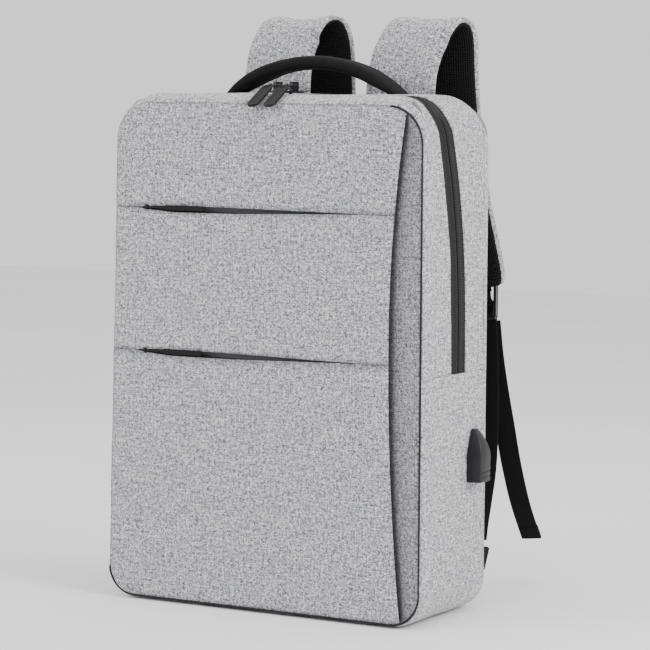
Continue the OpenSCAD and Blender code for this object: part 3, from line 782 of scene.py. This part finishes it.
PAD_ROUTES = {
    "right": [(62, 61, 404), (62, 59.5, 426), (62, 58, 447), (63, 60, 465), (67, 65, 484),
              (73, 74, 500), (79, 86, 506), (82, 95, 501), (83, 99, 488), (84, 100, 462),
              (85, 104, 430), (87, 108, 397), (91, 114, 358), (97, 126, 320), (103, 138, 285),
              (104, 141, 275)],
    "left": [(-62, 61, 404), (-62, 59.5, 426), (-62, 58, 447), (-62, 60, 465), (-60, 65, 484),
             (-56, 74, 500), (-49, 86, 506), (-44, 95, 501), (-40, 99, 488), (-38, 100, 462),
             (-39, 104, 430), (-45, 108, 397), (-56, 114, 358), (-70, 126, 320),
             (-83, 138, 285), (-85, 141, 275)]}
WEB_ROUTES = {
    "right": [(106, 151, 243), (109, 149, 212), (112, 145, 180), (116, 137, 140),
              (119, 128, 110), (123, 112, 86), (128, 94, 66), (132, 82, 53)],
    "left": [(-95, 151, 243), (-100, 149, 212), (-105, 145, 180), (-113, 137, 140),
             (-118, 128, 110), (-123, 112, 86), (-128, 94, 66), (-132, 82, 53)]}
TAIL_ROUTES = {
    "right": [(106, 159, 241), (108, 163, 210), (111, 168, 180), (115, 175, 145),
              (119, 182, 110), (124, 193, 72), (129, 209, 38)],
    "left": [(-95, 159, 241), (-97, 163, 210), (-100, 168, 180), (-104, 175, 145),
             (-108, 182, 110), (-113, 193, 72), (-118, 209, 38)]}
STRAP_HALF = 34.5
FOAM = 9
WEB_HALF = 10
WEB_T = 0.9                              # half of the webbing's thickness


def along(route, t):
    """A point on a smooth curve through a route, t from 0 to 1."""
    n = len(route) - 1
    s = min(t * n, n - 1e-4)
    i = int(s)
    u = s - i
    a, b, c, d = (Vector(route[k]) for k in (max(i - 1, 0), i, i + 1, min(i + 2, n)))
    return 0.5 * (2 * b + (c - a) * u + (2 * a - 5 * b + 4 * c - d) * u * u
                  + (3 * b - a - 3 * c + d) * u ** 3)


def axes(route, t):
    """Along the route, across it towards +X, and out of its outer face."""
    way = (along(route, min(1, t + 0.01)) - along(route, max(0, t - 0.01))).normalized()
    across = way.cross(Vector((0, -way.z, way.y))).normalized()
    return way, across, across.cross(way)


def tube(name, route, rings, section, sides):
    """A closed skin swept along a route; section(t, k) gives (across, out) in millimetres."""
    points, threads = [], []
    travelled, before = 0, along(route, 0)
    for i in range(rings):
        t = i / (rings - 1)
        centre = along(route, t)
        travelled += (centre - before).length
        before = centre
        _, across, out = axes(route, t)
        for k in range(sides):
            a, b = section(t, k / sides)
            points.append(centre + across * a + out * b)
            threads.append((a + b, travelled))
    faces = grid_faces(rings, sides, True, True)
    faces += [tuple(range(sides)), tuple(range((rings - 1) * sides, rings * sides))[::-1]]
    return make_object(name, points, faces, threads)


def oval(half, low_side, high_side, power=0.45):
    """A flat, round-ended section as a function of the share of the way round."""
    def place(t, share):
        turn = 2 * math.pi * share
        c, s = math.cos(turn), math.sin(turn)
        a = half(t) * math.copysign(abs(c) ** power, c)
        middle, tall = (high_side + low_side) / 2, (high_side - low_side) / 2
        return a, middle + tall * math.copysign(abs(s) ** 0.8, s)
    return place


def puff(obj, pinned, pressure, cap):
    """Fills a sewn pad by a cloth simulation; pinned points hold the seams still."""
    rest = [v.co.copy() for v in obj.data.vertices]
    group = obj.vertex_groups.new(name="sewn")
    group.add(pinned, 1.0, "REPLACE")
    cloth = obj.modifiers.new("cloth", "CLOTH")
    cloth.settings.use_pressure = True
    cloth.settings.uniform_pressure_force = pressure
    cloth.settings.vertex_group_mass = "sewn"
    cloth.settings.effector_weights.gravity = 0
    cloth.settings.quality = 4
    cloth.settings.tension_stiffness = 8
    cloth.settings.compression_stiffness = 8
    cloth.settings.bending_stiffness = 2
    cloth.point_cache.frame_start = 1
    cloth.point_cache.frame_end = 20
    for step in range(1, 21):
        bpy.context.scene.frame_set(step)
    freeze(obj)
    for vertex, start in zip(obj.data.vertices, rest):
        moved = vertex.co - start
        if moved.length > cap * MM:
            vertex.co = start + moved.normalized() * cap * MM
    bpy.context.scene.frame_set(1)
    obj.data.update()


def subdivide(obj, levels=1):
    more = obj.modifiers.new("smooth", "SUBSURF")
    more.levels = levels
    more.render_levels = levels
    return freeze(obj)


def pad_half(t):
    """Half of the strap's width, narrowing towards its lower end."""
    return STRAP_HALF - 11 * clamp((t - 0.76) / 0.24) ** 1.5


def bend_at_root(obj):
    """Bakes the piece's transform into its mesh. The piece is sewn into the bag; it is not made to
    swing above the seam.
    """
    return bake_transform(obj)


def ribbon(name, route, rings, half, low_side, high_side):
    return tube(name, route, rings, oval(lambda t: half, low_side, high_side, 0.15), 16)


def build_strap(side):
    route = PAD_ROUTES[side]
    rings, sides = 96, 28
    sewn_in = 0.9
    puffed = 3.0
    pad = tube(f"strap_{side}_pad", route, rings,
               oval(lambda t: pad_half(t) - sewn_in, -FOAM / 2 - 1.0, FOAM / 2 - 1.2), sides)
    held = [i * sides + k for i in range(rings) for k in range(sides)
            if i in (0, rings - 1) or k in (0, sides // 2)]
    puff(pad, held, puffed, puffed)
    ruffle(pad, [(0.8, 60, 2.5), (0.3, 22, 6.6)])
    subdivide(pad)
    paint(pad, HEATHER)
    bend_at_root(pad)
    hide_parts(f"strap_pad_{side}", *(["strap_roots"] if side == "right" else []))
    lining = oval(lambda t: pad_half(t) - 1.2, -FOAM / 2 - 3.4, -FOAM / 2 + 2.0, 0.3)
    inner = tube(f"strap_{side}_mesh", route, rings,
                 lambda t, share: (lining(t, share)[0] - 1.6, lining(t, share)[1]), sides)
    paint(inner, AIR_MESH)
    bend_at_root(inner)
    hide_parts(f"strap_mesh_{side}")


def build_webbing(side):
    pad_end = Vector(PAD_ROUTES[side][-2])
    web = WEB_ROUTES[side]
    way = Vector(web[0]) - pad_end
    short = [tuple(pad_end + way * f) for f in (-0.1, 0.16, 0.40)]
    through = [tuple(pad_end + way * f + Vector((0, lift, 0)))
               for f, lift in ((0.40, -2.6), (0.55, -3.4), (0.68, 3.4), (0.84, 3.0), (1.05, -0.5))]
    body = f"strap_{side}"
    loop = ribbon(f"webbing_loop_{side}", short, 8, WEB_HALF, -WEB_T, WEB_T)
    threaded = ribbon(f"webbing_threaded_{side}", through, 24, WEB_HALF, -WEB_T, WEB_T)
    lower = ribbon(f"webbing_long_{side}", web, 60, WEB_HALF, -WEB_T, WEB_T)
    for piece in (loop, threaded, lower):
        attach(paint(piece, BLACK_WEAVE), body)
    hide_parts(f"strap_webbing_{side}")
    tail_route = TAIL_ROUTES[side]
    tail = ribbon(f"webbing_end_{side}", tail_route, 60, WEB_HALF, -WEB_T, WEB_T)
    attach(paint(tail, BLACK_WEAVE), f"tail_{side}")
    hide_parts(f"webbing_tail_{side}")
    hem_route = [tuple(along(tail_route, t)) for t in (0.93, 0.965, 1.0)]
    hem = ribbon(f"webbing_hem_{side}", hem_route, 8, WEB_HALF + 0.1, -1.2, 2.4)
    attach(paint(hem, BLACK_WEAVE), f"tail_{side}")


def build_handle():
    grip_low, grip_high = low("handle_grip"), high("handle_grip")
    middle_x = (grip_low.x + grip_high.x) / 2
    middle_y = (grip_low.y + grip_high.y) / 2
    radius = 136.5
    centre_z = grip_high.z - 5.5 - radius
    route = []
    for i in range(25):
        turn = math.radians(131 - 82 * i / 24)
        route.append((middle_x + radius * math.cos(turn), middle_y,
                      centre_z + radius * math.sin(turn)))
    rings, sides = 72, 24

    def half(t):
        return 9 + 5 * smooth(min(t, 1 - t) / 0.12)

    def section(t, share):
        thick = mix(3.4, 6.0, smooth(min(t, 1 - t) / 0.2))
        turn = 2 * math.pi * share
        c, s = math.cos(turn), math.sin(turn)
        return thick * math.copysign(abs(s) ** 0.75, s), half(t) * math.copysign(abs(c) ** 0.55, c)

    points, threads = [], []
    for i in range(rings):
        t = i / (rings - 1)
        centre = along(route, t)
        way = (along(route, min(1, t + 0.01)) - along(route, max(0, t - 0.01))).normalized()
        up = Vector((0, 1, 0)).cross(way) * -1
        for k in range(sides):
            tall, wide = section(t, k / sides)
            points.append(centre + up * tall + Vector((0, 1, 0)) * wide)
            threads.append((wide, t * 220))
    faces = grid_faces(rings, sides, True)
    faces += [tuple(range(sides))[::-1], tuple(range((rings - 1) * sides, rings * sides))]
    grip = make_object("handle_pad", points, faces, threads)
    held = [i * sides + k for i in range(rings) for k in range(sides)
            if i in (0, 1, rings - 2, rings - 1) or k in (0, sides // 2)]
    puff(grip, held, 3.0, 2.0)
    ruffle(grip, [(0.5, 24, 2.5), (0.25, 9, 6.6)])
    subdivide(grip)
    paint(grip, HANDLE_CLOTH)
    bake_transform(grip)
    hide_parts("handle_grip", "handle_anchors")


def build_back_pads():
    """Two foam panels on the back, each sewn round its edge with a channel across it."""
    box_low, box_high = low("back_pads"), high("back_pads")
    width, height = 112, box_high.z - box_low.z
    middle_z = (box_low.z + box_high.z) / 2
    columns, rows = 18, 44
    for word, side in (("left", -1), ("right", 1)):
        centre_x = side * (box_high.x - width / 2)
        points, threads, held = [], [], []
        for face in (0, 1):
            for i in range(rows):
                for j in range(columns):
                    u, v = 2 * j / (columns - 1) - 1, 2 * i / (rows - 1) - 1
                    corner = max(0.0, math.hypot(max(0, abs(u) * width / 2 - width / 2 + 18),
                                                 max(0, abs(v) * height / 2 - height / 2 + 18)) - 18)
                    x = centre_x + u * (width / 2 - corner * 0.7)
                    z = middle_z + v * (height / 2 - corner * 0.7)
                    edge = min((1 - abs(u)) * width / 2, (1 - abs(v)) * height / 2)
                    rise = 6.0 * (1 - (1 - smooth(edge / 12)) ** 2)
                    channel = math.exp(-((v + 0.05) * height / 2 / 3.5) ** 2)
                    rise *= 1 - 0.75 * channel
                    if face and (edge < 0.5 or channel > 0.6):
                        held.append(rows * columns + i * columns + j)
                    points.append((x, back_y(z) + (1.6 + rise if face else 0.4), z))
                    threads.append((x, z))
        faces = grid_faces(rows, columns, flip=False)
        faces = [f[::-1] for f in faces] + [tuple(k + rows * columns for k in f) for f in faces]
        rim = ([j for j in range(columns)] + [i * columns + columns - 1 for i in range(1, rows)]
               + [(rows - 1) * columns + j for j in range(columns - 2, -1, -1)]
               + [i * columns for i in range(rows - 2, 0, -1)])
        for a, b in zip(rim, rim[1:] + rim[:1]):
            faces.append((a, b, b + rows * columns, a + rows * columns))
        pad = make_object(f"back_pad_{word}", points, faces, threads)
        held += list(range(rows * columns))
        puff(pad, held, 3.0, 2.5)
        subdivide(pad)
        paint(pad, AIR_MESH)
        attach(pad, "bag")
        if side < 0:
            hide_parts("back_pads")


# ---- Hard parts ----

def build_usb():
    """The port's housing: a dark wedge with a paler outer face and two grooves near its foot."""
    foot, top = low("usb_housing"), high("usb_housing")
    wall_x, out = foot.x + 1.0, top.x - foot.x - 1.0
    middle_y, tall = (foot.y + top.y) / 2, top.z - foot.z
    half_base = (top.y - foot.y) / 2
    heights = [0, 0.6, 1.5, 4.2, 4.6, 5.4, 5.8, 8.2, 8.6, 9.4, 9.8, 13, 17, 20, 23, 26, 29, 32, 35, 38,
               40.5, 42.5, 44, 44.8, tall]
    points, threads = [], []
    for z in heights:
        share = z / tall
        half = half_base if share < 0.5 else mix(half_base, 3.6, ((share - 0.5) / 0.5) ** 1.15)
        reach = out if share < 0.5 else mix(out, 3.0, ((share - 0.5) / 0.5) ** 1.9)
        if z in (0, tall):
            half, reach = half - 0.8, reach - 0.8
        reach -= 0.7 if 4.5 < z < 5.5 or 8.5 < z < 9.5 else 0
        face = half * 0.88
        section = [(0, -half), (reach * 0.45, -half * 0.97), (reach - 1.2, -face - 0.5),
                   (reach - 0.3, -face), (reach, -face + 0.8), (reach + 0.15, 0),
                   (reach, face - 0.8), (reach - 0.3, face), (reach - 1.2, face + 0.5),
                   (reach * 0.45, half * 0.97), (0, half)]
        for a, b in section:
            points.append((wall_x + a, middle_y + b, foot.z + z))
            threads.append((a, z))
    columns = 11
    faces = grid_faces(len(heights), columns, True)
    faces += [tuple(range(columns))[::-1],
              tuple(range((len(heights) - 1) * columns, len(heights) * columns))]
    obj = make_object("usb_shell", points, faces, threads)
    edge = obj.modifiers.new("edge", "BEVEL")
    edge.width = 0.35 * MM
    edge.segments = 2
    edge.limit_method = "ANGLE"
    edge.angle_limit = math.radians(40)
    freeze(obj)
    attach(paint(obj, PORT_SIDE), "bag")
    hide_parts("usb_housing")


def build_tab(side):
    """A satin capsule tab with a raised rim round a sunk middle, and the eye at its top."""
    node = f"pull_tab_{side}"
    lowest, highest = low(node), high(node)
    tilt = math.radians(30)
    width = highest.x - lowest.x
    middle_x = (highest.x + lowest.x) / 2
    length = 37.0
    eye = Vector((middle_x, highest.y - 1.9, highest.z - 1.9))
    way = Vector((0, -math.cos(tilt), -math.sin(tilt)))
    out = Vector((0, -math.sin(tilt), math.cos(tilt)))
    across = Vector((1, 0, 0))
    radius = width / 2
    count = 40

    def ring(inset, lift):
        found = []
        for k in range(count):
            turn = 2 * math.pi * k / count
            c, s = math.cos(turn), math.sin(turn)
            reach = length - 1 - radius if c >= 0 else radius + 0.6
            found.append(eye + across * (radius - inset) * s
                         + way * (reach + (radius - inset) * c) + out * lift)
        return found

    rings = [ring(3.0, -1.2), ring(0.7, -1.25), ring(0.1, -0.6), ring(0.0, 0.3), ring(0.35, 1.1),
             ring(0.9, 1.35), ring(1.5, 1.1), ring(1.9, 0.55), ring(3.0, 0.5)]
    points = [p for r in rings for p in r]
    faces = grid_faces(len(rings), count, True)
    faces += [tuple(range(count))[::-1], tuple(range((len(rings) - 1) * count, len(rings) * count))]
    obj = make_object(f"tab_{side}", points, faces, [(p.x, p.y) for p in points])
    subdivide(obj)
    loop = tube(f"tab_eye_{side}", [tuple(eye - across * 2.4), tuple(eye), tuple(eye + across * 2.4)],
                8, lambda t, s: (1.9 * math.cos(2 * math.pi * s), 1.9 * math.sin(2 * math.pi * s)), 14)
    body = f"zip_tab_{side}"
    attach(paint(obj, RUBBER), body)
    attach(paint(loop, RUBBER), body)
    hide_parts(node)


def finish_cad_nodes():
    finishes = {
        HEATHER: ["front_base_lower", "front_base_upper"],
        LINING: ["main_lining", "flap_lining", "laptop_sleeve", "power_bank_pocket",
                 "pocket_bag_lower", "pocket_bag_upper"],
        TAPE: ["pocket_tapes_lower", "pocket_tapes_upper"],
        COIL: ["zipper_coil_rear", "zipper_coil_front"],
        BOARD: ["bottom_board"],
        STEEL: ["usb_socket"],
        PLASTIC: ["usb_tongue", "usb_backing_plate", "buckle_left", "buckle_right"],
        BLACK_WEAVE: ["lower_anchor_tabs"],
        GUNMETAL: ["slider_left", "slider_right", "pull_ring_left", "pull_ring_right",
                   "pocket_slider_upper", "pocket_slider_lower"],
        PULL: ["pocket_pull_upper", "pocket_pull_lower"]}
    for mat, nodes in finishes.items():
        for node in nodes:
            paint_cad(node, mat)
    for node in ("slider_left", "slider_right", "pocket_slider_upper", "pocket_slider_lower"):
        soften_cad(node, 0.25)
    for node in ("pocket_pull_upper", "pocket_pull_lower", "lower_anchor_tabs"):
        soften_cad(node, 0.4)


# ---- Studio ----

def area_light(name, place, aim, size, power, colour=(1, 1, 1)):
    data = bpy.data.lights.new(name, "AREA")
    data.shape = "DISK"
    data.size = size
    data.energy = power
    data.color = colour
    obj = bpy.data.objects.new(name, data)
    bpy.context.scene.collection.objects.link(obj)
    obj.location = place
    obj.rotation_euler = (Vector(aim) - Vector(place)).to_track_quat("-Z", "Y").to_euler()


def build_studio():
    world = bpy.data.worlds.new("studio")
    bpy.context.scene.world = world
    world.use_nodes = True
    world.node_tree.nodes["Background"].inputs[0].default_value = (1, 1, 1, 1)
    world.node_tree.nodes["Background"].inputs[1].default_value = 1.15
    area_light("key", (2.2, -0.4, 1.4), (0.05, 0, 0.25), 1.3, 54)
    area_light("fill", (-1.3, -1.9, 1.3), (0, 0, 0.25), 1.5, 30)
    area_light("top", (0.2, 0.3, 2.0), (0, 0, 0.3), 1.2, 8)
    floor = make_object("floor", [(-4000, -4000, -1), (4000, -4000, -1), (4000, 4000, -1),
                                  (-4000, 4000, -1)], [(0, 1, 2, 3)])
    mat = new_material("studio floor", 0.9)
    grain = noise_value(mat, object_place(mat), 3, 2, 0.5)
    set_colour(mat, ramp(mat, grain, [(0.3, (0.86, 0.86, 0.86)), (0.7, (0.9, 0.9, 0.9))]))
    paint(floor, mat)


def build_camera():
    azimuth, elevation, roll = (math.radians(a) for a in (28.5, 4.5, 0.9))
    target = Vector((28.8, -11.8, 243.5)) * MM
    back = Vector((math.sin(azimuth) * math.cos(elevation), -math.cos(azimuth) * math.cos(elevation),
                   math.sin(elevation)))
    right = Vector((math.cos(azimuth), math.sin(azimuth), 0))
    up = back.cross(right)
    turned = right * math.cos(roll) + up * math.sin(roll)
    raised = up * math.cos(roll) - right * math.sin(roll)
    data = bpy.data.cameras.new("camera")
    data.sensor_width = 36
    data.lens = 144.3
    data.clip_end = 50
    camera = bpy.data.objects.new("camera", data)
    bpy.context.scene.collection.objects.link(camera)
    rotation = Matrix((turned, raised, back)).transposed()
    camera.matrix_world = Matrix.Translation(target + back * 2.24) @ rotation.to_4x4()
    bpy.context.scene.camera = camera


build_gussets()
build_sides()
build_back()
build_zipper()
build_front()
build_pleat()
build_piping()
for strap_side in ("left", "right"):
    build_strap(strap_side)
    build_webbing(strap_side)
    build_tab(strap_side)
build_handle()
build_back_pads()
build_usb()
finish_cad_nodes()
build_studio()
build_camera()
